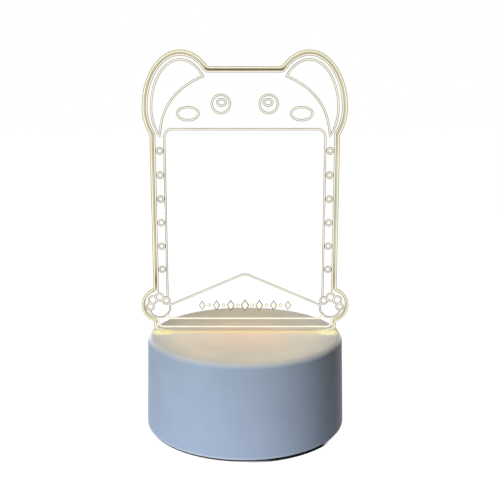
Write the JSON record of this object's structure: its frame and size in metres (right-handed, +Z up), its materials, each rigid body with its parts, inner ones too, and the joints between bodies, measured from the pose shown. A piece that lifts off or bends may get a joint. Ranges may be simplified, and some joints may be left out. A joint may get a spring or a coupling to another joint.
{
  "type": "led writing board",
  "caption": "Clear engraved message panel with bear ears, standing in the slot of a round lamp base that lights its edge from below.",
  "frame": {"origin": "centre of the round base at the underside of its rubber ring, on the surface it stands on", "axes": "+Z up along the base's axis; -Y is the front, where the panel's engraving faces; +X is to the right seen from the front"},
  "size_m": [0.0914, 0.0882, 0.1631],
  "materials": {
    "acrylic": "clear cast acrylic, polished faces, engraved lines",
    "base_abs": "fine matt moulded ABS",
    "rubber": "matt",
    "circuit_board": "white solder mask",
    "led": "phosphor under clear resin",
    "steel": "zinc plated",
    "black_plastic": "matt",
    "red_sleeve": "satin",
    "black_sleeve": "satin"
  },
  "bodies": {
    "base": {"base_housing": "base_abs", "bottom_cover": "base_abs", "base_pad": "rubber", "panel_holder": "base_abs", "led_bar": "circuit_board", "control_board": "circuit_board", "usb_shell": "steel", "usb_insulator": "black_plastic", "switch_body": "black_plastic", "resistor_1": "black_plastic", "resistor_2": "black_plastic", "wire_positive": "red_sleeve", "wire_negative": "black_sleeve", "led_1": "led", "led_2": "led", "led_3": "led", "led_4": "led", "led_5": "led", "led_6": "led", "led_7": "led", "led_8": "led", "cover_screw_1": "steel", "cover_screw_2": "steel", "cover_screw_3": "steel", "cover_screw_4": "steel", "holder_screw_1": "steel", "holder_screw_2": "steel", "board_screw_1": "steel", "board_screw_2": "steel"},
    "panel": {"acrylic_panel": "acrylic"},
    "button": {"power_button": "base_abs", "switch_plunger": "base_abs"}
  },
  "joints": [
    {"name": "panel_lift", "type": "slide", "parent": "base", "child": "panel", "axis": [0, 0, 1], "range_m": [0, 0.03]},
    {"name": "button_press", "type": "slide", "parent": "base", "child": "button", "axis": [0, -1, 0], "range_m": [0, 0.001], "stiffness_N_per_m": 400}
  ]
}
